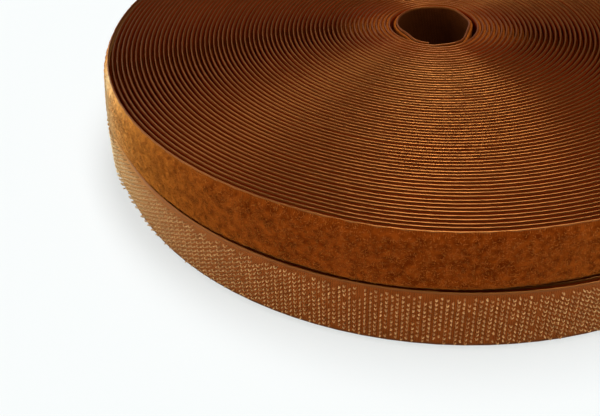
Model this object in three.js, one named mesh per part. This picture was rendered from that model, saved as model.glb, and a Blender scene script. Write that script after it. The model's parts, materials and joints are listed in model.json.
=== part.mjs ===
// A pair of hook and loop tape rolls, one lying on the other, as the two tapes are sold together.
// Each roll is one long woven tape, wound on itself with no core and with its closing face outwards.
// The lower tape carries rows of stiff hooks, the upper one a brushed pile of soft loops.
// The last stretch of each tape is free, and peels away from its roll when someone pulls tape off.
// Millimetres, +Z up. The origin is on the floor, under the middle of the lower roll.

import * as THREE from "three";

// Tape, the same for both rolls
const tapeWidth = 20;
const tapeThickness = 1.15; // woven ground, with the closing face pressed flat between turns
const turnGap = 0.45; // clear space between one turn and the next
const boreRadius = 14.4; // hole in the middle, to the inner face of the innermost turn
const boreShiftX = 0.5; // the hole lies a little off the middle of a hand-wound roll
const boreShiftY = 4;
const cutGap = 0.4; // clear space between the end faces of two stretches of one tape
const seatGap = 0.3; // clear space under a closing face, and between the two rolls

// Closing faces, on the outermost turn where they stand free
const loopHeight = 0.9; // brushed loops over the ground
const loopSelvedge = 1.8; // bare woven edge above and below the loops
const hookHeight = 1.3; // hooks over the ground
const hookThickness = 0.5; // one row of hooks, measured along the tape's width
const lowestHookRow = 1.3; // middle of the lowest row, from the tape's lower edge
const highestHookRow = 17.7; // middle of the highest row, from the same edge
const hookRowCount = 11;

// Rolls
const hookRoll = {
  radius: 118.9, // to the ground, at the outer end of the tape
  centreX: 0,
  centreY: 0,
  bottom: 0,
  endAzimuth: THREE.MathUtils.degToRad(135), // where the outer end of the tape lies
};
const loopRoll = {
  radius: 117.4,
  centreX: -1.9,
  centreY: 0.3,
  bottom: tapeWidth + seatGap,
  endAzimuth: THREE.MathUtils.degToRad(82),
};

// The winding. A real roll has about 64 turns, and each turn drawn in its middle stands for three.
// The first turn and the last ones have the real thickness of the tape.
const woundTurns = 20.5;
const fineTurns = 2; // outermost turns at the real pitch
const easeTurns = 2; // turns over which the drawn pitch widens and narrows again
const stepsPerTurn = 24;
const fineSplit = 2; // finer steps to each step, on the outermost turns
const endTurnShare = 1 / 12; // the free end, as a share of one turn

// The innermost turn is loose. These are its radii as shares of a round one, from its cut end on,
// over equal steps of a turn: it is pressed in beside the cut and runs straight across one side.
const looseTurnShares = [
  1, 0.98, 0.91, 0.85, 0.88, 0.91, 0.93, 0.95, 0.98, 1, 1, 0.98,
  0.98, 0.95, 0.86, 0.8, 0.77, 0.73, 0.705, 0.725, 0.79, 0.9, 0.94, 0.97,
];

const tapePitch = tapeThickness + turnGap;
const fineStepsPerTurn = stepsPerTurn * fineSplit;
const hookRowPitch = (highestHookRow - lowestHookRow) / (hookRowCount - 1);

const hookGround = new THREE.MeshStandardMaterial({ color: 0x8a4f24, roughness: 0.8, metalness: 0 });
const loopGround = new THREE.MeshStandardMaterial({ color: 0x8f5426, roughness: 0.8, metalness: 0 });
const loopPile = new THREE.MeshStandardMaterial({ color: 0x7b3f14, roughness: 0.95, metalness: 0 });
const hookYarn = new THREE.MeshStandardMaterial({ color: 0xa86a3a, roughness: 0.45, metalness: 0 });

// Area under a smooth ramp that rises from 0 to 1 as x does, and stays at 1 after that.
function rampArea(x) {
  const inside = Math.min(Math.max(x, 0), 1);
  return inside ** 3 - inside ** 4 / 2 + Math.max(x - 1, 0);
}

// Turns that the widened pitch has covered by this turn: none at either end of the tape.
function widenedTurns(turn) {
  const narrowing = woundTurns - fineTurns - easeTurns;
  return easeTurns * (rampArea(turn / easeTurns) - rampArea((turn - narrowing) / easeTurns));
}

// Radius of the tape's outer face, this many turns after the winding begins. The loose turn comes before 0.
function outerRadius(roll, turn) {
  const first = boreRadius + tapeThickness + tapePitch;
  const spare = roll.radius - first - tapePitch * woundTurns;
  return first + tapePitch * turn + (spare * widenedTurns(turn)) / widenedTurns(woundTurns);
}

// Direction from the middle of the roll: the tape winds outwards clockwise, seen from above.
function direction(roll, turn) {
  const angle = roll.endAzimuth + 2 * Math.PI * (woundTurns - turn);
  return new THREE.Vector2(Math.cos(angle), Math.sin(angle));
}

// A point this far outside the tape's outer face. The turns' middle drifts from the bore's to the roll's.
function facePoint(roll, turn, offset, share = 1) {
  const radius = outerRadius(roll, turn);
  const first = outerRadius(roll, 0);
  const drift = Math.min(Math.max((roll.radius - radius) / (roll.radius - first), 0), 1);
  const middle = new THREE.Vector2(boreShiftX, boreShiftY).multiplyScalar(drift);
  return direction(roll, turn).multiplyScalar(radius * share + offset).add(middle);
}

// Turn numbers along a face. All turns share one even grid, so that their chords line up, and
// it is finer on the outermost turns. No step next to either end is a very short one.
function turnsBetween(from, to) {
  const shortest = 0.5 / fineStepsPerTurn;
  const inside = [];
  for (let step = Math.ceil(from * fineStepsPerTurn); step < to * fineStepsPerTurn; step++) {
    const turn = step / fineStepsPerTurn;
    const drawn = step % fineSplit === 0 || turn > woundTurns - fineTurns;
    if (drawn && turn - from > shortest && to - turn > shortest) inside.push(turn);
  }
  return [from, ...inside, to];
}

// A length along the tape as a share of the turn that it lies on.
function asTurn(roll, turn, length) {
  return length / (2 * Math.PI * outerRadius(roll, turn));
}

// A band that stands on its edge: its plan is closed by its outer face and its inner one.
function standingBand(outerFace, innerFace, height) {
  const plan = new THREE.Shape([...outerFace, ...innerFace.toReversed()]);
  return new THREE.ExtrudeGeometry(plan, { depth: height, bevelEnabled: false });
}

function piece(name, geometry, material, bottom) {
  const mesh = new THREE.Mesh(geometry, material);
  mesh.name = name;
  mesh.position.z = bottom;
  return mesh;
}

// Tape wound on itself. Its inner face follows the outer face of the turn inside it, a gap away.
function tapeBand(roll, from, to) {
  const outerFace = turnsBetween(from, to).map((turn) => facePoint(roll, turn, 0));
  const innerFace = turnsBetween(from - 1, to - 1).map((turn) => facePoint(roll, turn, turnGap));
  return standingBand(outerFace, innerFace, tapeWidth);
}

// How far in the loose turn is pressed here, as a share of a round turn's radius.
function looseShare(turn) {
  const count = looseTurnShares.length;
  const place = (turn + 1) * count;
  const before = Math.floor(place);
  const after = before + 1;
  return THREE.MathUtils.lerp(looseTurnShares[before % count], looseTurnShares[after % count], place - before);
}

// The loose turn in the bore, from its cut end to where the winding begins.
function looseTurnBand(roll) {
  const turns = turnsBetween(-1, -asTurn(roll, 0, cutGap));
  const outerFace = turns.map((turn) => facePoint(roll, turn, 0, looseShare(turn)));
  const innerFace = turns.map((turn) => facePoint(roll, turn, -tapeThickness, looseShare(turn)));
  return standingBand(outerFace, innerFace, tapeWidth);
}

// A closing face that stands on the outside of the tape.
function closingBand(roll, from, to, thickness, height) {
  const turns = turnsBetween(from, to);
  const outerFace = turns.map((turn) => facePoint(roll, turn, seatGap + thickness));
  const innerFace = turns.map((turn) => facePoint(roll, turn, seatGap));
  return standingBand(outerFace, innerFace, height);
}

// Where a roll's stretches begin and end: the winding stops at the root of the free end, and
// the closing face shows from just past the free end's tip, one turn further in.
function stretches(roll) {
  const tip = woundTurns;
  const root = tip - endTurnShare;
  const cut = asTurn(roll, tip, cutGap);
  return { tip, root, endStart: root + cut, showingStart: tip - 1 + cut };
}

// Least distance from the points of one line of chords to the chords of another.
function leastDistance(points, ends) {
  const chord = new THREE.Line3();
  const point = new THREE.Vector3();
  const nearest = new THREE.Vector3();
  let least = Infinity;
  for (let i = 1; i < ends.length; i++) {
    chord.start.set(ends[i - 1].x, ends[i - 1].y, 0);
    chord.end.set(ends[i].x, ends[i].y, 0);
    for (const { x, y } of points) {
      point.set(x, y, 0);
      chord.closestPointToPoint(point, true, nearest);
      least = Math.min(least, nearest.distanceTo(point));
    }
  }
  return least;
}

// Least clear space from each turn of a winding to the turn round it.
function leastTurnGap(roll) {
  const turns = turnsBetween(0, stretches(roll).root - 1);
  const outerFace = turns.map((turn) => facePoint(roll, turn, 0));
  const nextInnerFace = turns.map((turn) => facePoint(roll, turn, turnGap));
  return Math.min(leastDistance(outerFace, nextInnerFace), leastDistance(nextInnerFace, outerFace));
}

// A roll's own frame has its middle at the origin of x and y.
function rollGroup(roll) {
  const group = new THREE.Group();
  group.position.set(roll.centreX, roll.centreY, roll.bottom);
  return group;
}

// The tape itself: its loose inner turn, its winding and its free end.
function addTape(group, roll, name, material) {
  const { tip, root, endStart } = stretches(roll);
  group.add(piece(`${name}_tape_inner_turn`, looseTurnBand(roll), material, 0));
  group.add(piece(`${name}_tape_winding`, tapeBand(roll, 0, root), material, 0));
  group.add(piece(`${name}_tape_end`, tapeBand(roll, endStart, tip), material, 0));
}

function hookRollGroup() {
  const group = rollGroup(hookRoll);
  addTape(group, hookRoll, "hook", hookGround);
  const { tip, root, endStart, showingStart } = stretches(hookRoll);
  for (let row = 0; row < hookRowCount; row++) {
    const number = String(row + 1).padStart(2, "0");
    const bottom = lowestHookRow + hookRowPitch * row - hookThickness / 2;
    const onRoll = closingBand(hookRoll, showingStart, root, hookHeight, hookThickness);
    const onEnd = closingBand(hookRoll, endStart, tip, hookHeight, hookThickness);
    group.add(piece(`hook_row_${number}`, onRoll, hookYarn, bottom));
    group.add(piece(`hook_end_row_${number}`, onEnd, hookYarn, bottom));
  }
  return group;
}

function loopRollGroup() {
  const group = rollGroup(loopRoll);
  addTape(group, loopRoll, "loop", loopGround);
  const { tip, root, endStart, showingStart } = stretches(loopRoll);
  const pileWidth = tapeWidth - 2 * loopSelvedge;
  const onRoll = closingBand(loopRoll, showingStart, root, loopHeight, pileWidth);
  const onEnd = closingBand(loopRoll, endStart, tip, loopHeight, pileWidth);
  group.add(piece("loop_pile", onRoll, loopPile, loopSelvedge));
  group.add(piece("loop_end_pile", onEnd, loopPile, loopSelvedge));
  return group;
}

// Foot of the upright line about which a free end swings away from its roll. The line stands in
// the middle of the cut, level with the outer side of the closing face, so nothing meets there.
function endHinge(roll, closingHeight) {
  const { root, endStart } = stretches(roll);
  const point = facePoint(roll, (root + endStart) / 2, seatGap + closingHeight);
  return new THREE.Vector3(point.x + roll.centreX, point.y + roll.centreY, roll.bottom);
}

console.log("least gap between the hook roll's turns", leastTurnGap(hookRoll).toFixed(3));
console.log("least gap between the loop roll's turns", leastTurnGap(loopRoll).toFixed(3));
console.log("hinge of the hook tape's end", endHinge(hookRoll, hookHeight).toArray());
console.log("hinge of the loop tape's end", endHinge(loopRoll, loopHeight).toArray());

const tapeRolls = new THREE.Group();
tapeRolls.add(hookRollGroup(), loopRollGroup());

export default tapeRolls;
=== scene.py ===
# %% [markdown]
# # Two rolls of hook and loop tape
#
# The object is a pair of long woven tapes, each wound on itself like a clock spring. The upper
# roll is the loop tape, with a brushed pile on its outer face. The lower roll is the hook tape,
# with eleven rows of small nylon hooks. There is no core: the innermost turn is simply loose.
#
# The measured solids come first. Everything below is built around them, in metres.

# %% Load the measured frame
import json
import math

import bpy
import numpy as np
from mathutils import Matrix, Vector


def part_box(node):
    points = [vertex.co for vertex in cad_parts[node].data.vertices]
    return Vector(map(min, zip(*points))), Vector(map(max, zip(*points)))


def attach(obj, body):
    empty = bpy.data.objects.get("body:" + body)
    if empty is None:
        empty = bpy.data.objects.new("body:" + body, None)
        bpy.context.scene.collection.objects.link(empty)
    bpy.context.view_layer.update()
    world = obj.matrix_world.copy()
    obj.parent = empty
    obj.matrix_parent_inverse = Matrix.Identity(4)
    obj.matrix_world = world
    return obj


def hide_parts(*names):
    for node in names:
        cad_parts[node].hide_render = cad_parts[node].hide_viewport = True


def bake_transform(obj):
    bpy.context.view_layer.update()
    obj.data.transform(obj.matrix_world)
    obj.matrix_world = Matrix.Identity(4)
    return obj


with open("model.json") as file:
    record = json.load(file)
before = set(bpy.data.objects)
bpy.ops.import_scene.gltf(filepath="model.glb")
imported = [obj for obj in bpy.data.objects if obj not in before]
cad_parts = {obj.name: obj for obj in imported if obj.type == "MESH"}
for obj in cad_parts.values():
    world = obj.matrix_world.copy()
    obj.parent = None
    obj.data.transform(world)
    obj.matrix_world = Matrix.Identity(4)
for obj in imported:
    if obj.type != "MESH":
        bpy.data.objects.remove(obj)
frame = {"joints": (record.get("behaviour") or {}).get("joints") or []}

MM = 0.001
full_turn = 2 * math.pi
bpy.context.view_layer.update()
joints = {joint["name"]: joint for joint in frame["joints"]}

# %% [markdown]
# ## The two rolls in numbers
#
# A wound tape is a flat spiral, so a handful of sizes says where every point of it lies. The
# turning joint stands on the upper roll's middle, which gives that roll its place. The solids
# draw 20 turns where the real tape has 63, so this scene winds the real number. Both tapes run
# outwards clockwise, seen from above.

# %% Sizes that both tapes share
lowest_corner, highest_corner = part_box("loop_tape_winding")
tape_width = highest_corner.z - lowest_corner.z
ground_thickness = 0.55 * MM
first_radius = 17.15 * MM
bore_shift = Vector((0.5, 4, 0)) * MM
wound_turns = 63.5
free_share = 1 / 12  # of a turn, which peels off
root_turn = wound_turns - free_share
last_turn_begins = wound_turns - 1
print("tape:", round(tape_width / MM, 1), "mm wide, and free from turn", round(root_turn, 2), "on")

# %% Sizes of each roll
hook_roll = {"name": "hook", "tip radius": 118.9 * MM, "tip azimuth": math.radians(135)}
loop_roll = {"name": "loop", "tip radius": 117.4 * MM, "tip azimuth": math.radians(82)}
hook_roll["centre"] = Vector((0, 0, 0))
loop_roll["centre"] = Vector(joints["loop_roll_turn"]["pos_m"])
both_rolls = (hook_roll, loop_roll)
for roll in both_rolls:
    roll["foot"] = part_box(roll["name"] + "_tape_winding")[0].z
    roll["pitch"] = (roll["tip radius"] - first_radius) / wound_turns
    roll["length"] = full_turn * wound_turns * (first_radius + roll["tip radius"]) / 2
    pitch_in_mm = round(roll["pitch"] / MM, 3)
    print(roll["name"], "tape:", pitch_in_mm, "mm a turn and", round(roll["length"], 1), "m long")

# %% [markdown]
# ## Sums inside a node tree
#
# Geometry Nodes and shaders both do their sums with Math nodes. Wiring those by hand hides the
# formula, so this small class lets Python's own signs add them: `a * 2 + b` makes two nodes.

# %% A helper that adds nodes, and a number that flows through them
def feed(tree, socket, value):
    """Links what flows through the tree into a socket, or sets the socket to a plain value."""
    if isinstance(value, Flow):
        tree.links.new(value.socket, socket)
    elif isinstance(value, bpy.types.NodeSocket):
        tree.links.new(value, socket)
    else:
        socket.default_value = value


def add(tree, kind, *values, settings=None, **named):
    """Adds a node. Plain values go into its open inputs in order, and named ones by their names."""
    node = tree.nodes.new(kind)
    for name, setting in (settings or {}).items():
        setattr(node, name, setting)
    inputs = [socket for socket in node.inputs if socket.enabled]
    for socket, value in zip(inputs, values):
        feed(tree, socket, value)
    for name, value in named.items():
        feed(tree, next(socket for socket in inputs if socket.name == name.replace("_", " ")), value)
    return node


def open_output(node):
    """The first output that a node's settings leave open."""
    return next(socket for socket in node.outputs if socket.enabled)


class Flow:
    """A number on its way through a node tree."""

    def __init__(self, tree, socket):
        self.tree = tree
        self.socket = socket

    def math(self, operation, *values):
        node = add(self.tree, "ShaderNodeMath", self, *values, settings={"operation": operation})
        return Flow(self.tree, node.outputs[0])

    def __add__(self, other):
        return self.math("ADD", other)

    def __sub__(self, other):
        return self.math("SUBTRACT", other)

    def __mul__(self, other):
        return self.math("MULTIPLY", other)

    def __truediv__(self, other):
        return self.math("DIVIDE", other)

    def __pow__(self, other):
        return self.math("POWER", other)

    def cosine(self):
        return self.math("COSINE")

    def sine(self):
        return self.math("SINE")

    def is_number(self, number):
        """True where a count has come to this number."""
        return self.math("COMPARE", number, 0.1)

    def between(self, low, high):
        return self.math("MAXIMUM", low).math("MINIMUM", high)


def vector(tree, x=0, y=0, z=0):
    return add(tree, "ShaderNodeCombineXYZ", x, y, z).outputs[0]


def vector_math(tree, operation, *values, **named):
    settings = {"operation": operation}
    return add(tree, "ShaderNodeVectorMath", *values, settings=settings, **named).outputs[0]


def parts_of(tree, value):
    """The three numbers of a vector."""
    node = add(tree, "ShaderNodeSeparateXYZ", value)
    return [Flow(tree, socket) for socket in node.outputs]


def ripple(distance, pitch):
    """A wave between -1 and 1 along a distance, with one crest to each pitch."""
    return (distance * (full_turn / pitch)).sine()


def noise(tree, place, scale, detail=2.0):
    """A smooth random number about 0.5 at each place, and three more as a colour."""
    node = add(tree, "ShaderNodeTexNoise", place, Scale=scale, Detail=detail)
    return Flow(tree, node.outputs[0]), node.outputs[1]


# %% [markdown]
# ## Trees with named inputs
#
# A tree of Geometry Nodes is a recipe. Its inputs are the sizes that a maker would ask for, so
# the same recipe makes every row of hooks and every stretch of tape. It runs as a modifier on an
# empty object. The result is kept as a plain mesh and the modifier is dropped, because a piece
# has to be a plain mesh before it rides on a body of the frame.

# %% A new tree, and growing a piece from one
def new_tree(name, inputs, outputs=(("Geometry", "Geometry"),)):
    """An empty tree. Each input is (name, kind, value), and each output (name, kind)."""
    tree = bpy.data.node_groups.new(name, "GeometryNodeTree")
    for input_name, kind, value in inputs:
        socket = tree.interface.new_socket(input_name, in_out="INPUT", socket_type="NodeSocket" + kind)
        socket.default_value = value
    for output_name, kind in outputs:
        tree.interface.new_socket(output_name, in_out="OUTPUT", socket_type="NodeSocket" + kind)
    entry = tree.nodes.new("NodeGroupInput")
    leave = tree.nodes.new("NodeGroupOutput")
    size = {socket.name: Flow(tree, socket) for socket in entry.outputs if socket.name}
    return tree, size, leave


def end_tree(tree, leave, geometry, material):
    """Every tree ends like this: real geometry with its material on it."""
    geometry = add(tree, "GeometryNodeRealizeInstances", geometry).outputs[0]
    geometry = add(tree, "GeometryNodeSetMaterial", geometry, Material=material).outputs[0]
    feed(tree, leave.inputs[0], geometry)
    return tree


def index_of(tree):
    """The number of each point, from 0 on."""
    return Flow(tree, tree.nodes.new("GeometryNodeInputIndex").outputs[0])


def position(tree):
    """The x, y and z of each point."""
    return parts_of(tree, tree.nodes.new("GeometryNodeInputPosition").outputs[0])


def line_of(tree, count):
    """A curve with this many points, still to be placed, and the number of each."""
    line = add(tree, "GeometryNodeMeshLine", Count=count).outputs[0]
    return add(tree, "GeometryNodeMeshToCurve", line).outputs[0], index_of(tree)


def moved(tree, geometry, **where):
    """Moves all points or a Selection of them, to a Position or by an Offset."""
    return add(tree, "GeometryNodeSetPosition", geometry, **where).outputs[0]


def stored(tree, geometry, domain="POINT", **values):
    """Keeps these numbers on the geometry, for later nodes and for the finishes."""
    kind, settings = "GeometryNodeStoreNamedAttribute", {"domain": domain}
    for name, value in values.items():
        geometry = add(tree, kind, geometry, settings=settings, Name=name, Value=value).outputs[0]
    return geometry


def kept(tree, name):
    """A number that the geometry has kept."""
    return Flow(tree, add(tree, "GeometryNodeInputNamedAttribute", Name=name).outputs[0])


def volume_of(mesh):
    """Signed volume in cubic millimetres. It is negative if the faces point inwards."""
    mesh.calc_loop_triangles()
    points = np.empty(len(mesh.vertices) * 3)
    mesh.vertices.foreach_get("co", points)
    corners = np.empty(len(mesh.loop_triangles) * 3, int)
    mesh.loop_triangles.foreach_get("vertices", corners)
    a, b, c = points.reshape(-1, 3)[corners.reshape(-1, 3)].transpose(1, 0, 2) / MM
    return float(np.einsum("ij,ij->i", a, np.cross(b, c)).sum() / 6)


def grow(name, tree, **sizes):
    """Runs a tree on an empty object with these sizes, and keeps the mesh that it makes."""
    piece = bpy.data.objects.new(name, bpy.data.meshes.new(name))
    bpy.context.scene.collection.objects.link(piece)
    modifier = piece.modifiers.new("tree", "NODES")
    modifier.node_group = tree
    for item in tree.interface.items_tree:
        key = item.name.lower().replace(" ", "_")
        if item.in_out == "INPUT" and key in sizes:
            modifier[item.identifier] = sizes[key]
    grown = piece.evaluated_get(bpy.context.evaluated_depsgraph_get())
    mesh = bpy.data.meshes.new_from_object(grown)
    piece.modifiers.clear()
    piece.data = mesh
    mesh.name = name
    triangles = sum(len(face.vertices) - 2 for face in mesh.polygons)
    print(f"{name}: {triangles} triangles, {volume_of(mesh):.0f} cubic mm")
    return piece


def stand_for(piece, slot, *nodes):
    """Hides these solids, which the piece stands in for. The piece and the slot are not used."""
    if nodes:
        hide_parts(*nodes)


def settle(piece, body, slot, *nodes):
    """Does what stand_for does, and lets the piece ride on a body."""
    stand_for(piece, slot, *nodes)
    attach(piece, body)


# %% [markdown]
# ## The path of the tape
#
# Every piece of a roll follows one path, so the path is a group of nodes that all trees use. It
# takes a turn number and a distance outside the tape, and gives the place, the azimuth and the
# length of tape wound so far. The loose turn in the bore lies between turns -1 and 0. Its dents
# are a curve of shares, read off at equal steps of that turn. Rolls of soft tape aren't quite
# round either: the bore is squeezed from the right, the last turns are slack in places, and those
# of the upper roll lean out at their foot on the left. Three more curves say by how much, at equal
# steps around the roll. A slow noise lets each turn stand a little higher or wider than the next.

# %% The loose turn's radius, as shares of a round one, from its cut end on
loose_turn_shares = [
    1, 0.98, 0.91, 0.85, 0.88, 0.91, 0.93, 0.95, 0.98, 1, 1, 0.98,
    0.98, 0.95, 0.86, 0.8, 0.77, 0.73, 0.705, 0.725, 0.79, 0.9, 0.94, 0.97, 1,
]
largest_rise = 0.25 * MM

# %% How far each roll departs from a true spiral, every 15 degrees around from the right
# Slack is written in millimetres, and the others as shares of the largest.
squeeze_shares = [1, 0.97, 0.84, 0.6, 0.35, 0.14, 0.03] + [0] * 12 + [0.04, 0.2, 0.5, 0.78, 0.95, 1]
largest_squeeze = 3.2 * MM
squeezed_turns = 24
hook_roll["slack"] = [0] * 10 + [0.4, 1.2, 2.0, 2.4, 0.7, 0] + [0] * 9
loop_roll["slack"] = [0.1] + [0] * 10 + [0.2, 0.4, 0.4, 0.2, 0.1, 0.2, 0.55]
loop_roll["slack"] += [1.45, 0.85, 0.4, 0.25, 0.2, 0.15, 0.1]
largest_slack = 3 * MM
hook_roll["flare"] = [0] * 25
loop_roll["flare"] = [0] * 9 + [0.1, 0.3, 0.6, 0.9, 1, 0.45] + [0] * 10
largest_flare = 2.1 * MM


def stepped_curve(tree, share, values):
    """A smooth curve through values from 0 to 1 at equal steps."""
    node = add(tree, "ShaderNodeFloatCurve", 1, share)
    points = node.mapping.curves[0].points
    while len(points) < len(values):
        points.new(0.5, 1)
    for step, value in enumerate(values):
        points[step].location = (step / (len(values) - 1), value)
    node.mapping.update()
    return Flow(tree, node.outputs[0])


# %% The group of nodes that says where a roll's tape runs
def path_group(roll):
    tree, size, leave = new_tree(
        "Path of the " + roll["name"] + " tape",
        [
            ("Turn", "Float", 0),
            ("Outside", "Float", 0),
            ("Turns", "Float", wound_turns),
            ("First radius", "Float", first_radius),
            ("Tip radius", "Float", roll["tip radius"]),
            ("Tip azimuth", "Float", roll["tip azimuth"]),
            ("Centre x", "Float", roll["centre"].x),
            ("Centre y", "Float", roll["centre"].y),
            ("Bore shift x", "Float", bore_shift.x),
            ("Bore shift y", "Float", bore_shift.y),
            ("Rise", "Float", largest_rise),
            ("Wander", "Float", 0.3 * MM),
            ("Squeeze", "Float", largest_squeeze),
            ("Squeezed turns", "Float", squeezed_turns),
            ("Slack", "Float", largest_slack),
        ],
        [("Place", "Vector"), ("Azimuth", "Float"), ("Along", "Float")],
    )
    turn = size["Turn"]
    growth = (size["Tip radius"] - size["First radius"]) / size["Turns"]
    radius = growth * turn + size["First radius"]
    azimuth = (size["Turns"] - turn) * full_turn + size["Tip azimuth"]
    along = (growth * turn / 2 + size["First radius"]) * turn * full_turn

    way_round = (azimuth / full_turn).math("FRACT")
    dents = stepped_curve(tree, (turn + 1).between(0, 1), loose_turn_shares)
    squeeze = stepped_curve(tree, way_round, squeeze_shares) * size["Squeeze"]
    squeeze = squeeze * (turn / size["Squeezed turns"] * -1 + 1).between(0, 1)
    squeeze = squeeze * turn.math("GREATER_THAN", 0)
    slack_shares = [value * MM / largest_slack for value in roll["slack"]]
    slack = stepped_curve(tree, way_round, slack_shares) * size["Slack"]
    slack = slack * (turn / size["Turns"]).between(0, 1) ** 4

    around = vector(tree, azimuth.cosine() * 1.3, azimuth.sine() * 1.3, turn * 0.7)
    wobble = parts_of(tree, noise(tree, around, 1.0, detail=1.0)[1])
    rise = ((wobble[0] - 0.25) * 2).between(0, 1) * size["Rise"]
    wander = (wobble[1] - 0.5) * size["Wander"] * ((size["Turns"] - turn) / 3).between(0, 1)

    drift = ((size["Tip radius"] - radius) / (growth * size["Turns"])).between(0, 1)
    reach = radius * dents - squeeze + slack + size["Outside"] + wander
    x = reach * azimuth.cosine() + size["Bore shift x"] * drift + size["Centre x"]
    y = reach * azimuth.sine() + size["Bore shift y"] * drift + size["Centre y"]
    feed(tree, leave.inputs["Place"], vector(tree, x, y, rise))
    feed(tree, leave.inputs["Azimuth"], azimuth)
    feed(tree, leave.inputs["Along"], along)
    return tree


for roll in both_rolls:
    roll["path"] = path_group(roll)
    print(roll["path"].name, "has", len(roll["path"].nodes), "nodes")


def on_path(tree, roll, turn, outside=0):
    """Uses a roll's path inside another tree: the place, the azimuth and the length so far."""
    node = tree.nodes.new("GeometryNodeGroup")
    node.node_tree = roll["path"]
    feed(tree, node.inputs["Turn"], turn)
    feed(tree, node.inputs["Outside"], outside)
    return node.outputs["Place"], Flow(tree, node.outputs["Azimuth"]), node.outputs["Along"]


def curve_on_path(tree, roll, size, outside, lift):
    """A curve along a stretch of the path. A turn gets steps as the square root of its radius."""
    power = 1.5
    share = roll["pitch"] / roll["tip radius"]
    first = ((size["First turn"] - wound_turns) * share + 1) ** power
    last = ((size["Last turn"] - wound_turns) * share + 1) ** power
    steps = ((last - first) * size["Steps per turn"] / (power * share)).math("CEIL")
    curve, step = line_of(tree, steps + 1)
    radius = (step / steps * (last - first) + first) ** (1 / power)
    turn = (radius - 1) / share + wound_turns
    place, _, along = on_path(tree, roll, turn, outside)
    curve = moved(tree, curve, Position=place, Offset=vector(tree, 0, 0, lift))
    curve = stored(tree, curve, along=along, turn=turn)
    return add(tree, "GeometryNodeSetCurveNormal", curve, settings={"mode": "Z_UP"}).outputs[0]


def flared(tree, roll, mesh, foot, height):
    """Leans the last turns outwards at their lower edge, by the roll's own shares around it."""
    turn = kept(tree, "turn")
    _, azimuth, _ = on_path(tree, roll, turn)
    share = stepped_curve(tree, (azimuth / full_turn).math("FRACT"), roll["flare"])
    _, _, z = position(tree)
    low = ((foot + height - z) / height).between(0, 1)
    out = share * low * ((turn / wound_turns).between(0, 1) ** 6) * largest_flare
    return moved(tree, mesh, Offset=vector(tree, azimuth.cosine() * out, azimuth.sine() * out))


def smooth_but_sharp(tree, mesh, degrees):
    """Marks as sharp only the edges where faces meet at a real angle."""
    angle = Flow(tree, tree.nodes.new("GeometryNodeInputMeshEdgeAngle").outputs[0])
    sharp = angle.math("GREATER_THAN", math.radians(degrees))
    settings = {"domain": "EDGE"}
    return add(tree, "GeometryNodeSetShadeSmooth", mesh, sharp, False, settings=settings).outputs[0]


# %% [markdown]
# ## Finishes
#
# All of the object is one brown, and the finishes tell the pieces apart. The ground is woven
# polyester: fine ribs run across the tape, and it shines a little. The pile is the same yarn,
# brushed up into a soft felt that scatters light back at grazing angles, which Sheen stands for.
# The hooks are thicker, lighter, glossier yarn. Colours are written as they look on a screen.

# %% Helpers for the finishes
def screen_colour(red, green, blue):
    """A colour from 0 to 255 on the screen, as the linear colour that the nodes work with."""
    parts = [value / 255 for value in (red, green, blue)]
    linear = [part / 12.92 if part <= 0.04045 else ((part + 0.055) / 1.055) ** 2.4 for part in parts]
    return (*linear, 1)


def new_material(name, **sockets):
    """A material whose shader has these plain values."""
    material = bpy.data.materials.new(name)
    material.use_nodes = True
    shader = material.node_tree.nodes["Principled BSDF"]
    for socket, value in sockets.items():
        shader.inputs[socket.replace("_", " ")].default_value = value
    return material, material.node_tree, shader


def mixed(tree, share, first, second):
    """A colour between two others."""
    node = add(tree, "ShaderNodeMix", settings={"data_type": "RGBA"}, Factor=share, A=first, B=second)
    return open_output(node)


def attribute(tree, name):
    """A number that the geometry has kept, read by a finish."""
    node = add(tree, "ShaderNodeAttribute", settings={"attribute_name": name})
    return Flow(tree, node.outputs["Fac"])


def own_place(tree):
    """Where a point lies on its piece, so that a pattern moves with the tape."""
    return tree.nodes.new("ShaderNodeTexCoord").outputs["Object"]


def rim_sheen_weight(tree, roll, power):
    """Painted sheen: the pale colour of fuzz lit at grazing angles shows most where its roll is seen
    edge on: 0 face on, rising to 1 along the rim.

    A baked colour has no viewpoint. It is worked out as if each face were seen straight on, so
    the second weight, which is 0 there and 1 at nearly every other angle, keeps this painted sheen
    out.
    """
    outwards = vector_math(tree, "SUBTRACT", own_place(tree), tuple(roll["centre"]))
    outwards = vector_math(tree, "NORMALIZE", vector_math(tree, "MULTIPLY", outwards, (1, 1, 0)))
    settings = {"vector_type": "NORMAL", "convert_from": "OBJECT", "convert_to": "WORLD"}
    outwards = add(tree, "ShaderNodeVectorTransform", outwards, settings=settings).outputs[0]
    weight = add(tree, "ShaderNodeLayerWeight", Blend=0.5, Normal=outwards)
    aslant = Flow(tree, add(tree, "ShaderNodeLayerWeight", Blend=0.5).outputs["Facing"]) * 200
    return Flow(tree, weight.outputs["Facing"]) ** power * aslant.between(0, 1)


def bumped(tree, shader, height, depth):
    node = add(tree, "ShaderNodeBump", Height=height, Distance=depth)
    feed(tree, shader.inputs["Normal"], node.outputs[0])


# %% The woven ground: ribs across its faces, and yarns along its edges
weft_pitch = 0.65 * MM
warp_pitch = 0.9 * MM
edge_yarn_pitch = 0.24 * MM
# Below the edges, over this depth, a buried face goes from painted light to painted shade.
painted_shade_depth = 1.6 * MM


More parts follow.
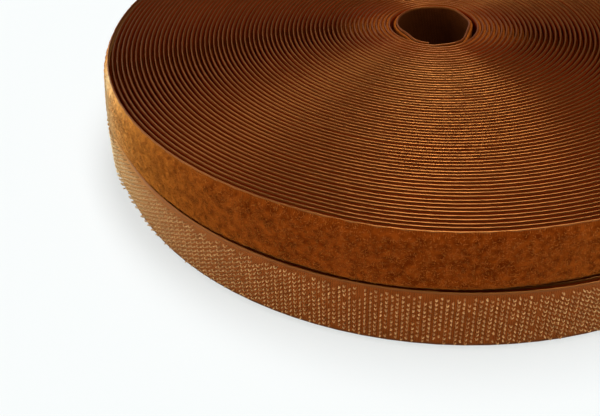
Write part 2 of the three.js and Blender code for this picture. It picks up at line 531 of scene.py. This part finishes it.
def woven_ground(roll, dark, light, buried, painted_gap_shade, fuzz_sheen_colour):
    """Under the outermost turn the cloth is buried. Its faces there are painted light by their edges
    and painted shade further down, for the gaps between turns.
    """
    name = "woven ground, " + roll["name"] + " tape"
    material, tree, shader = new_material(name, IOR=2.25, Specular_Tint=screen_colour(255, 161, 80))
    place = own_place(tree)
    along, around, face = (attribute(tree, kind) for kind in ("along", "around", "face"))
    weft = ripple(along, weft_pitch)
    warp = ripple(around, warp_pitch)
    weave = weft * 0.25 + weft * warp * 0.35 + 0.5
    yarns = ripple(around, edge_yarn_pitch) * 0.5 + 0.5
    dye, _ = noise(tree, place, 300, detail=3)
    fibre, _ = noise(tree, place, 2500, detail=2)
    streaks, _ = noise(tree, vector(tree, along * 0.12, around), 2500, detail=2)

    edge = face * -1 + 1
    _, _, steepness = parts_of(tree, tree.nodes.new("ShaderNodeNewGeometry").outputs["Normal"])
    crest = steepness.between(0, 1) ** 3
    outer_turn = along.math("GREATER_THAN", roll["buried length"])
    by_the_bore = (along * -0.5 + 1).between(0, 1)
    # Painted highlight: the upward crest of the outermost turn's edges is painted lighter, and the
    # edges by the bore a little lighter too.
    painted_lit_edge = edge * (outer_turn * crest * 0.8 + by_the_bore * 0.15)
    tone = (weave * 0.6 + dye * 0.5 + fibre * 0.4 - 0.22).between(0, 1) * (face * 0.8 + 0.2)
    tone = (tone + painted_lit_edge).between(0, 1)

    wound_in = along.math("GREATER_THAN", 0) * (outer_turn * -1 + 1) * face
    from_middle = (parts_of(tree, place)[2] - roll["foot"] - tape_width / 2).math("ABSOLUTE")
    # Painted light and shade in the gaps between turns: lighter at the top of a face, darker further
    # down.
    depth = ((from_middle * -1 + tape_width / 2) / painted_shade_depth).between(0, 1)
    cloth = mixed(tree, wound_in, mixed(tree, tone, dark, light), mixed(tree, depth, buried, painted_gap_shade))
    # Painted sheen: the outermost turn's faces go pale where the roll is seen edge on.
    cloth = mixed(tree, rim_sheen_weight(tree, roll, 3) * outer_turn * face * 0.9, cloth, fuzz_sheen_colour)
    # Painted shade: the loose turn's faces in the bore are darkened towards black. The edges are
    # darkened too, less so by the bore, so that mostly their gloss shows.
    bore_shade_and_dark_edges = along.math("LESS_THAN", 0) * face * 0.7 + edge * (by_the_bore * -0.55 + 0.78)
    feed(tree, shader.inputs["Base Color"], mixed(tree, bore_shade_and_dark_edges, cloth, (0, 0, 0, 1)))

    feed(tree, shader.inputs["Roughness"], face * 0.55 + 0.3)
    outwards = (along / roll["buried length"]).between(0, 1) ** 4
    shine = by_the_bore * -0.5 - outwards * 0.2 + 0.99
    feed(tree, shader.inputs["Specular IOR Level"], edge * shine + 0.08)
    height = (weave + fibre * 0.3) * face + (yarns * 0.3 + streaks * 0.4) * edge
    bumped(tree, shader, height, 0.16 * MM)
    return material


for roll in both_rolls:
    mean_radius = first_radius + roll["pitch"] * last_turn_begins / 2
    roll["buried length"] = full_turn * last_turn_begins * mean_radius
    # The two colours for the gaps between turns are painted light at their top and painted shade
    # below.
    roll["ground finish"] = woven_ground(
        roll, dark=screen_colour(80, 28, 0), light=screen_colour(176, 88, 30),
        buried=screen_colour(226, 86, 14), painted_gap_shade=screen_colour(112, 24, 0),
        fuzz_sheen_colour=screen_colour(236, 180, 106),
    )
    print(roll["name"], "tape:", round(roll["buried length"], 2), "m lie under its outermost turn")

# %% The brushed pile: blotches about two millimetres across, and loops lighter than what is under them
def brushed_pile(name, dark, light, loop_tips, fuzz_sheen_colour, rim_sheen_colour):
    material, tree, shader = new_material(
        name, Roughness=0.95, Specular_IOR_Level=0.0, Sheen_Weight=0.7, Sheen_Roughness=0.3,
        Sheen_Tint=screen_colour(255, 176, 66),
    )
    place = own_place(tree)
    clumps, _ = noise(tree, place, 460, detail=2)
    patches, _ = noise(tree, place, 90, detail=1)
    tall = (attribute(tree, "tall") * 1.8).between(0, 1)
    ribs = ripple(attribute(tree, "along"), weft_pitch) * 0.5 + 0.5
    tone = (clumps * 2.7 + patches * 0.4 - 1.05).between(0, 1)
    tone = tone * (tall * 0.7 + 0.3) + (ribs * 0.5 + 0.1) * (tall * -1 + 1)
    felt = mixed(tree, tone, dark, light)
    felt = mixed(tree, attribute(tree, "shade") * 0.8, felt, loop_tips)
    # Painted sheen: the felt goes towards pale colours where the roll is seen edge on.
    fuzz_sheen = (rim_sheen_weight(tree, loop_roll, 4) * (tone + 0.55)).between(0, 1)
    felt = mixed(tree, fuzz_sheen, felt, fuzz_sheen_colour)
    felt = mixed(tree, rim_sheen_weight(tree, loop_roll, 12), felt, rim_sheen_colour)
    feed(tree, shader.inputs["Base Color"], felt)
    fuzz, _ = noise(tree, place, 3500, detail=2)
    bumped(tree, shader, fuzz + ribs * (tall * -1 + 1), 0.1 * MM)
    return material


pile_finish = brushed_pile(
    "brushed loop pile", dark=screen_colour(102, 37, 4), light=screen_colour(148, 67, 16),
    loop_tips=screen_colour(196, 116, 52), fuzz_sheen_colour=screen_colour(255, 172, 66),
    rim_sheen_colour=screen_colour(255, 232, 176),
)

# %% The hooks: drawn yarn, each with its own shade
def hook_yarn(name, dark, light, rim):
    material, tree, shader = new_material(
        name, Roughness=0.35, Specular_IOR_Level=0.8, Specular_Tint=screen_colour(255, 190, 120)
    )
    place = own_place(tree)
    streaks, _ = noise(tree, place, 2500, detail=1)
    tone = (attribute(tree, "shade") * 0.8 + streaks * 0.4 - 0.1).between(0, 1)
    # Painted sheen: the hooks go pale where the roll is seen edge on.
    colour = mixed(tree, rim_sheen_weight(tree, hook_roll, 2.5), mixed(tree, tone, dark, light), rim)
    feed(tree, shader.inputs["Base Color"], colour)
    bumped(tree, shader, streaks, 0.03 * MM)
    return material


hook_finish = hook_yarn(
    "hook yarn", dark=screen_colour(172, 110, 54), light=screen_colour(232, 180, 116),
    rim=screen_colour(255, 230, 170),
)

# %% The closing face between two turns: open by the bore or under the free end, else pressed and painted dark for the shade of the gap
hook_spacing = 1.5 * MM
row_spacing = 1.6 * MM


def pressed_nap(roll, dark, light, open_dark, open_light, open_length, combed):
    """Open over this length of tape from the bore. Combed is 1 for rows of hooks and 0 for felt."""
    name = "pressed nap, " + roll["name"] + " tape"
    material, tree, shader = new_material(name, Roughness=0.95, Specular_IOR_Level=0.0)
    place = own_place(tree)
    along = attribute(tree, "along")
    columns = ripple(along, hook_spacing) * 0.5 + 0.5
    rows = ripple(parts_of(tree, place)[2], row_spacing) * 0.5 + 0.5
    felt, _ = noise(tree, place, 900, detail=3)
    tone = ((felt - 0.5) * 1.6 + 0.5 + (columns * rows - 0.4) * combed).between(0, 1)
    free_length = (wound_turns - root_turn) * full_turn * roll["tip radius"]
    covered = ((along - roll["buried length"] + free_length * 1.5) * -50).between(0, 1)
    # Painted shade: where the face is hidden between turns, it takes the dark colours of the shade in
    # the gap.
    pressed = (along / open_length).between(0, 1) * covered
    open_colour = mixed(tree, tone, open_dark, open_light)
    colour = mixed(tree, pressed, open_colour, mixed(tree, tone, dark, light))
    feed(tree, shader.inputs["Base Color"], colour)
    bumped(tree, shader, tone, 0.2 * MM)
    return material


pressed_shade_dark, pressed_shade_light = screen_colour(36, 8, 0), screen_colour(72, 20, 0)
hook_nap_finish = pressed_nap(
    hook_roll, pressed_shade_dark, pressed_shade_light, open_dark=screen_colour(104, 52, 20),
    open_light=screen_colour(178, 116, 66), open_length=0.001, combed=1.0,
)
loop_nap_finish = pressed_nap(
    loop_roll, pressed_shade_dark, pressed_shade_light, open_dark=screen_colour(106, 48, 12),
    open_light=screen_colour(150, 80, 27), open_length=2.0, combed=0.0,
)
for finish in (pile_finish, hook_finish, hook_nap_finish, loop_nap_finish):
    print("finish:", finish.name)

# %% [markdown]
# ## The woven ground
#
# The ground is a flat band, 20 mm wide and about half a millimetre thick, standing on its edge.
# A band that follows a curve is what Curve to Mesh is for: it sweeps a section along the path.
# The edge of a woven tape is soft, so the section is rounded there to half a circle.

# %% The section of the tape: flat faces, and edges rounded to half a circle
def line_through(tree, points):
    """A curve of straight pieces through these points, given in millimetres."""
    curve, step = line_of(tree, len(points))
    for number, point in enumerate(points):
        place = vector(tree, *(value * MM for value in point))
        curve = moved(tree, curve, Selection=step.is_number(number), Position=place)
    return curve


def tape_section(tree, thickness, height):
    """It remembers the way around it, and which of its points lie well inside a flat face.

    One edge is written in thicknesses from the middle of its arc, and the other is its mirror.
    """
    arc = [math.radians(angle) for angle in (0, 40, 75, 105, 140, 180)]
    corners = [(0.5 * math.cos(angle), 0.5 * math.sin(angle)) for angle in arc]
    edge = [(0.5, -1.3), *corners, (-0.5, -1.3)]
    middle_of_arc = (height - thickness) / 2
    curve, step = line_of(tree, 2 * len(edge))
    for number in range(2 * len(edge)):
        side = 1 if number < len(edge) else -1
        across, up = edge[number % len(edge)]
        place = vector(tree, thickness * (across * side), (thickness * up + middle_of_arc) * side)
        curve = moved(tree, curve, Selection=step.is_number(number), Position=place)
    _, way_up, _ = position(tree)
    face = way_up.math("ABSOLUTE").math("LESS_THAN", middle_of_arc - thickness)
    around = tree.nodes.new("GeometryNodeSplineParameter").outputs["Length"]
    curve = stored(tree, curve, face=face, around=around)
    return add(tree, "GeometryNodeSetSplineCyclic", curve, Cyclic=True).outputs[0]


# %% A band swept along the path
def band_tree(roll, material):
    tree, size, leave = new_tree(
        "Band of the " + roll["name"] + " tape",
        [
            ("First turn", "Float", 0),
            ("Last turn", "Float", 1),
            ("Steps per turn", "Float", 104),
            ("Outside", "Float", 0),
            ("Thickness", "Float", ground_thickness),
            ("Foot", "Float", 0),
            ("Height", "Float", tape_width),
            ("Set back", "Float", 0),
            ("Set back more", "Float", 0),
            ("Over turns", "Float", 14),
            ("Material", "Material", material),
        ],
    )
    middle = size["Outside"] - size["Thickness"] / 2
    curve = curve_on_path(tree, roll, size, middle, size["Foot"] + size["Height"] / 2)
    section = tape_section(tree, size["Thickness"], size["Height"])
    mesh = add(tree, "GeometryNodeCurveToMesh", curve, section, Fill_Caps=True).outputs[0]
    _, _, z = position(tree)
    half = size["Height"] / 2
    back = (kept(tree, "turn") / size["Over turns"]).between(0, 1)
    back = back * size["Set back more"] + size["Set back"]
    lowered = (z - size["Foot"] - half) / half * back * -1
    mesh = moved(tree, mesh, Offset=vector(tree, 0, 0, lowered))
    mesh = flared(tree, roll, mesh, size["Foot"], size["Height"])
    mesh = smooth_but_sharp(tree, mesh, 60)
    return end_tree(tree, leave, mesh, size["Material"])


for roll in both_rolls:
    roll["band"] = band_tree(roll, roll["ground finish"])

# %% Both grounds, from the cut end in the bore to the root of the free end
for roll in both_rolls:
    name = roll["name"]
    ground = grow(
        f"{name}_ground", roll["band"], first_turn=-1.0, last_turn=root_turn, foot=roll["foot"]
    )
    solids = (f"{name}_tape_winding", f"{name}_tape_inner_turn")
    settle(ground, f"{name}_roll", f"{name}_ground", *solids)
    roll["ground"] = ground

# %% [markdown]
# Between two turns the closing face is pressed flat. By the bore of the upper roll it lies nearly
# flush with the edges and hides the gaps. Further out it stays back, and all that shows from above
# is a dark gap. So one more band a roll fills the gaps, set back from both edges, and the upper
# roll's is set back more with each of its first turns. Its loose turn carries a band of its own.

# %% The pressed closing face between the turns
# A line says from which turn to which, how far back the band lies by the bore, and how much more
# it does further out.
clearance = 0.01 * MM
naps = [
    (hook_roll, "hook_nap", "hook_monofilament", hook_nap_finish, 0, last_turn_begins, 1.3 * MM, 0.0),
    (loop_roll, "loop_nap", "loop_pile", loop_nap_finish, 0, last_turn_begins, 0.4 * MM, 1.6 * MM),
    (loop_roll, "loop_nap_loose", "loop_pile", loop_nap_finish, -0.995, -0.06, 0.8 * MM, 0.0),
]
hook_roll["naps"] = []
loop_roll["naps"] = []
for roll, name, slot, finish, first, last, set_back, more in naps:
    thickness = roll["pitch"] - ground_thickness - 2 * clearance
    nap = grow(
        name, roll["band"], first_turn=float(first), last_turn=float(last), steps_per_turn=72.0,
        outside=thickness + clearance, thickness=thickness, foot=roll["foot"],
        set_back=set_back, set_back_more=more, material=finish,
    )
    settle(nap, roll["name"] + "_roll", slot)
    roll["naps"].append(nap)

# %% [markdown]
# ## The hooks
#
# A hook is a short length of yarn that stands up from the ground and curls over. Eleven of them
# make a column across the tape, and the columns follow each other every 1.5 mm, each a little
# higher or lower than the last. In each column the hooks lean the same way, and the next column
# leans the other way, so that they hold whichever way the tapes are pulled. A few columns stand
# straight, and a few hooks are missing. One row at a time is grown along the path, as points that
# each get an instance of one hook, so that each row stands for its own solid.

# %% One hook, as points outwards from the ground, in millimetres
hook_points = [
    (-0.1, 0, 0), (0.6, 0, 0), (0.95, 0, 0.08), (1.18, 0, 0.32), (1.17, 0, 0.64), (0.94, 0, 0.86),
]


def yarn_through(tree, points, thickness, sides):
    """A thin tube with this many sides through these points."""
    curve = line_through(tree, points)
    kind = "GeometryNodeCurvePrimitiveCircle"
    section = add(tree, kind, Resolution=sides, Radius=thickness / 2).outputs[0]
    return add(tree, "GeometryNodeCurveToMesh", curve, section, Fill_Caps=True).outputs[0]


def random(tree, low, high, number, seed):
    """A random number for each point, the same on every run."""
    settings = {"data_type": "FLOAT"}
    node = add(
        tree, "FunctionNodeRandomValue", settings=settings, Min=low, Max=high, ID=number, Seed=seed
    )
    return Flow(tree, open_output(node))


# %% A row of hooks along the path
def hook_row_tree(roll, material):
    tree, size, leave = new_tree(
        "Row of hooks",
        [
            ("First turn", "Float", 0),
            ("Last turn", "Float", 1),
            ("Columns per turn", "Float", 500),
            ("Height", "Float", 0),
            ("Row", "Int", 0),
            ("Missing", "Float", 0.02),
            ("Thickness", "Float", 0.36 * MM),
            ("Lean", "Float", 0.6),
            ("Stagger", "Float", 0.36 * MM),
            ("Material", "Material", material),
        ],
    )
    span = size["Last turn"] - size["First turn"]
    count = (span * size["Columns per turn"]).math("FLOOR")
    column = (size["First turn"] * size["Columns per turn"]).math("ROUND") + index_of(tree)
    hook = column + size["Row"] * 1000  # a number of its own for each hook of a turn

    side = (column.math("MODULO", 2) - 0.5) * 2
    straight = random(tree, 0, 1, column, 3).math("LESS_THAN", 0.07)
    leaning = straight * -1 + 1
    stand_back = side * size["Lean"].sine() * leaning * (0.3 * MM / (full_turn * roll["tip radius"]))
    turn = column / size["Columns per turn"] - stand_back + random(tree, -0.00007, 0.00007, hook, 1)
    place, azimuth, _ = on_path(tree, roll, turn)
    height = size["Height"] + side * size["Stagger"] + random(tree, -0.07 * MM, 0.07 * MM, hook, 2)
    points = add(tree, "GeometryNodeMeshLine", Count=count).outputs[0]
    points = moved(tree, points, Position=place, Offset=vector(tree, 0, 0, height))

    lean = side * size["Lean"] + random(tree, -0.1, 0.1, column, 4)
    lean = (lean + random(tree, -0.12, 0.12, hook, 5)) * (leaning * 0.9 + 0.1)
    droop = random(tree, -0.12, 0.12, hook, 6)
    turned = add(tree, "FunctionNodeEulerToRotation", vector(tree, lean, droop, azimuth)).outputs[0]
    scale = random(tree, 0.92, 1.08, hook, 7)
    one_hook = yarn_through(tree, hook_points, size["Thickness"], sides=4)
    hooks = add(
        tree, "GeometryNodeInstanceOnPoints", points, Instance=one_hook,
        Rotation=turned, Scale=vector(tree, scale, scale, scale),
    ).outputs[0]
    gone = random(tree, 0, 1, hook, 8).math("LESS_THAN", size["Missing"])
    settings = {"domain": "INSTANCE"}
    hooks = add(tree, "GeometryNodeDeleteGeometry", hooks, gone, settings=settings).outputs[0]
    hooks = stored(tree, hooks, domain="INSTANCE", shade=random(tree, 0, 1, hook, 9))
    return end_tree(tree, leave, hooks, size["Material"])


hook_roll["row"] = hook_row_tree(hook_roll, hook_finish)
print(hook_roll["row"].name, "has", len(hook_roll["row"].nodes), "nodes")

# %% All rows, on the roll and on its free end
rows_of_hooks = 11
lowest_row, highest_row = 1.9 * MM, 17.7 * MM
bare = 0.002  # of a turn, without hooks before the cut end and just past it
roll_hooks = []
end_hooks = []
for row in range(1, rows_of_hooks + 1):
    height = lowest_row + (highest_row - lowest_row) * (row - 1) / (rows_of_hooks - 1)
    outer_row = row in (1, rows_of_hooks)
    shared = {"height": height, "row": row, "missing": 0.2 if outer_row else 0.02}
    stretch = {"first_turn": last_turn_begins + bare, "last_turn": root_turn}
    hooks = grow(f"hooks_{row:02}", hook_roll["row"], **stretch, **shared)
    settle(hooks, "hook_roll", "hook_monofilament", f"hook_row_{row:02}")
    roll_hooks.append(hooks)
    stretch = {"first_turn": root_turn, "last_turn": wound_turns - bare}
    hooks = grow(f"end_hooks_{row:02}", hook_roll["row"], **stretch, **shared)
    stand_for(hooks, "hook_monofilament", f"hook_end_row_{row:02}")
    end_hooks.append(hooks)

# %% [markdown]
# ## The brushed pile
#
# The pile is a mat of fine loops, brushed until they tangle. Up close it is a soft uneven skin
# with loops standing out of it. So the skin is a swept section with a crowned face, pushed in and
# out by noise, and small arches are scattered over it. A sector of the roll at a time is grown,
# because the whole turn would be too heavy for one mesh.

# %% The section of the pile's skin: low by the upper edge, full below, closed by a flat back
pile_width = tape_width - 0.3 * MM
skin_height = 1.0 * MM


def crowned_section(tree, width, height, points=34):
    """Across runs from -1 at the lower edge to 1 at the upper one. The back lies in the ground."""
    sunk = 0.1 * MM
    curve, step = line_of(tree, points)
    across = step * (2 / (points - 1)) - 1
    crown = (across.math("ABSOLUTE") ** 8) * -1 + 1
    tall = (across * -3.6 + 3.5).between(0, 1)
    out = crown * (tall * 0.75 + 0.25) * (height + sunk) - sunk
    curve = moved(tree, curve, Position=vector(tree, out * -1, across * width / -2))
    front = across.math("ABSOLUTE").math("LESS_THAN", 0.98) * (tall * 0.6 + 0.4)
    curve = stored(tree, curve, front=front, tall=tall)
    return add(tree, "GeometryNodeSetSplineCyclic", curve, Cyclic=True).outputs[0]


# %% The pile: a skin and the loops that stand out of it, each an arch in millimetres
arch_points = [(-0.3, 0, -0.12), (-0.14, 0, 0.2), (0.16, 0, 0.24), (0.3, 0, -0.12)]


def pile_tree(roll, material):
    tree, size, leave = new_tree(
        "Brushed pile",
        [
            ("First turn", "Float", 0),
            ("Last turn", "Float", 1),
            ("Steps per turn", "Float", 1400),
            ("Foot", "Float", 0),
            ("Width", "Float", pile_width),
            ("Skin height", "Float", skin_height),
            ("Unevenness", "Float", 0.45 * MM),
            ("Loops per area", "Float", 2.6 / MM**2),
            ("Thickness", "Float", 0.12 * MM),
            ("Seed", "Int", 1),
            ("Material", "Material", material),
        ],
    )
    curve = curve_on_path(tree, roll, size, 0, size["Foot"] + tape_width / 2)
    section = crowned_section(tree, size["Width"], size["Skin height"])
    skin = add(tree, "GeometryNodeCurveToMesh", curve, section, Fill_Caps=True).outputs[0]
    skin = flared(tree, roll, skin, size["Foot"], tape_width)
    place = tree.nodes.new("GeometryNodeInputPosition").outputs[0]
    normal = tree.nodes.new("GeometryNodeInputNormal").outputs[0]
    clumps, _ = noise(tree, place, 600, detail=1.5)
    front = kept(tree, "front")
    push = vector_math(tree, "SCALE", normal, Scale=(clumps - 0.5) * size["Unevenness"] * front)
    skin = moved(tree, skin, Offset=push)
    skin = smooth_but_sharp(tree, skin, 50)

    density = front * size["Loops per area"]
    spread = add(
        tree, "GeometryNodeDistributePointsOnFaces", skin, Density=density, Seed=size["Seed"]
    )
    number = index_of(tree)
    tips = [random(tree, -0.5, 0.5, number, 1), random(tree, -0.5, 0.5, number, 2)]
    spin = vector(tree, *tips, random(tree, 0, full_turn, number, 3))
    spin = add(tree, "FunctionNodeEulerToRotation", spin).outputs[0]
    settings = {"rotation_space": "LOCAL"}
    upright = spread.outputs["Rotation"]
    turned = add(tree, "FunctionNodeRotateRotation", upright, spin, settings=settings).outputs[0]
    scale = random(tree, 0.7, 1.3, number, 4)
    one_loop = yarn_through(tree, arch_points, size["Thickness"], sides=3)
    loops = add(
        tree, "GeometryNodeInstanceOnPoints", spread.outputs["Points"], Instance=one_loop,
        Rotation=turned, Scale=vector(tree, scale, scale, scale),
    ).outputs[0]
    loops = stored(tree, loops, domain="INSTANCE", shade=random(tree, 0, 1, number, 5))
    pile = add(tree, "GeometryNodeJoinGeometry").inputs[0]
    tree.links.new(skin, pile)
    tree.links.new(loops, pile)
    return end_tree(tree, leave, pile.node.outputs[0], size["Material"])


loop_roll["pile"] = pile_tree(loop_roll, pile_finish)
print(loop_roll["pile"].name, "has", len(loop_roll["pile"].nodes), "nodes")

# %% Four sectors of pile on the roll, and a short one on its free end
sectors = 4
sector = (root_turn - last_turn_begins) / sectors
roll_piles = []
for number in range(sectors):
    begins = last_turn_begins + number * sector
    pile = grow(
        f"pile_{number + 1}", loop_roll["pile"], first_turn=begins, last_turn=begins + sector,
        foot=loop_roll["foot"], seed=number + 1,
    )
    settle(pile, "loop_roll", "loop_pile", "loop_pile")
    roll_piles.append(pile)
end_pile = grow(
    "end_pile", loop_roll["pile"], first_turn=root_turn, last_turn=wound_turns,
    foot=loop_roll["foot"], seed=9,
)
stand_for(end_pile, "loop_pile", "loop_end_pile")

# %% [markdown]
# ## The free ends
#
# The last stretch of each tape peels off its roll. It is grown like the rest, along the same path.

# %% Free ends, grown along their rolls' paths
for roll, extras in ((hook_roll, end_hooks), (loop_roll, [end_pile])):
    name = roll["name"]
    ground = grow(
        f"{name}_end_ground", roll["band"], first_turn=root_turn, last_turn=wound_turns,
        foot=roll["foot"],
    )
    stand_for(ground, f"{name}_ground", f"{name}_tape_end")
    roll["end ground"] = ground
    azimuth = roll["tip azimuth"] + full_turn * (wound_turns - root_turn)
    for piece in (ground, *extras):
        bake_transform(piece)

# %% [markdown]
# Each tape is woven flat, 20 mm wide, and lies wound on itself. Its real length is in its turns.

# %% Which pieces cover each tape, and the length of each tape, wound and free
hook_roll["closing faces"] = [*roll_hooks, *hook_roll["naps"]]
hook_roll["end faces"] = end_hooks
hook_roll["rests on"] = []
loop_roll["closing faces"] = [*roll_piles, *loop_roll["naps"]]
loop_roll["end faces"] = [end_pile]
loop_roll["rests on"] = [hook_roll["ground"]]
for roll in both_rolls:
    name = roll["name"]
    end_length = full_turn * (wound_turns - root_turn) * roll["tip radius"]
    wound_length = roll["length"] - end_length + full_turn * first_radius
    print(name, "tape:", round(wound_length, 2), "m wound and", round(end_length, 3), "m free")

# %% [markdown]
# ## The camera
#
# The photograph was taken from above the front of the rolls, turned a little to the left and
# tipped a little. These are the place, the angles and the lens at which the edges of the turns
# fall on the same pixels.

# %% The camera
camera_data = bpy.data.cameras.new("camera")
camera = bpy.data.objects.new("camera", camera_data)
bpy.context.scene.collection.objects.link(camera)
bpy.context.scene.camera = camera
camera_data.sensor_width = 36
camera_data.lens = 53.06
camera_data.clip_start = 0.01
place = (-0.00194, -0.29741, 0.18251)
heading, dip, tilt = math.radians(9.83), math.radians(37.03), math.radians(-1.885)
camera.matrix_world = (
    Matrix.Translation(place)
    @ Matrix.Rotation(heading, 4, "Z")
    @ Matrix.Rotation(math.pi / 2 - dip, 4, "X")
    @ Matrix.Rotation(tilt, 4, "Z")
)
print("camera stands at", place, "with a lens of", camera_data.lens, "mm")

# %% [markdown]
# ## The floor and the light
#
# The rolls lie on white paper with white walls round the table, under one large soft lamp and a
# weak one at the left. The room above the walls is dim, and that matters: yarn shines only where
# it mirrors a lamp, so the turns glow in front of the bore and at the back, and go dark at both
# sides, where they run along the line of sight. The world is those walls and that room, by height
# above the horizon. The walls are brightest at the left, where the photograph's rim is palest.

# %% White walls up to a low height, and a dim room over them
world = bpy.data.worlds.new("studio")
bpy.context.scene.world = world
world.use_nodes = True
tree = world.node_tree
towards = tree.nodes.new("ShaderNodeTexCoord").outputs["Generated"]
rightwards, northwards, upwards = parts_of(tree, towards)
top_of_walls = 0.2
room = 0.05
walls = rightwards * rightwards * 1.1 - rightwards * 0.7 - northwards.between(0, 1) * 0.4 + 0.65
darkening = ((upwards - top_of_walls) * 5).between(0, 1)
sky = tree.nodes["Background"]
sky.inputs["Color"].default_value = (1, 1, 1, 1)
feed(tree, sky.inputs["Strength"], walls + darkening * (walls * -1 + room))

# %% The paper: partly plain white to the camera, which lightens its shadow
floor_mesh = bpy.data.meshes.new("floor")
reach = 6  # metres each way
corners = [(-reach, -reach, 0), (reach, -reach, 0), (reach, reach, 0), (-reach, reach, 0)]
floor_mesh.from_pydata(corners, [], [(0, 1, 2, 3)])
floor = bpy.data.objects.new("floor", floor_mesh)
bpy.context.scene.collection.objects.link(floor)
paper, tree, shader = new_material(
    "white paper", Base_Color=(0.85, 0.87, 0.875, 1), Roughness=1.0, Specular_IOR_Level=0.0
)
plain = add(tree, "ShaderNodeEmission", Color=(0.9, 0.935, 0.93, 1), Strength=1.0).outputs[0]
seen = Flow(tree, tree.nodes.new("ShaderNodeLightPath").outputs["Is Camera Ray"]) * 0.7
both = add(tree, "ShaderNodeMixShader", seen, shader.outputs[0], plain).outputs[0]
feed(tree, tree.nodes["Material Output"].inputs["Surface"], both)
floor_mesh.materials.append(paper)

# %% One large soft lamp over the rolls, and a weaker one high on the left
def soft_lamp(name, width, depth, watts, place):
    data = bpy.data.lights.new(name, "AREA")
    data.shape = "RECTANGLE"
    data.size = width
    data.size_y = depth
    data.energy = watts
    lamp = bpy.data.objects.new(name, data)
    bpy.context.scene.collection.objects.link(lamp)
    lamp.location = place
    lamp.rotation_euler = (-lamp.location).to_track_quat("-Z", "Y").to_euler()
    print(name, "of", watts, "W at", place)


soft_lamp("soft lamp", width=2.6, depth=0.8, watts=77, place=(0.35, 0.2, 2.5))
soft_lamp("side lamp", width=1.2, depth=1.0, watts=9, place=(-1.6, -0.1, 1.3))

# %% Colour as written
bpy.context.scene.view_settings.view_transform = "Standard"
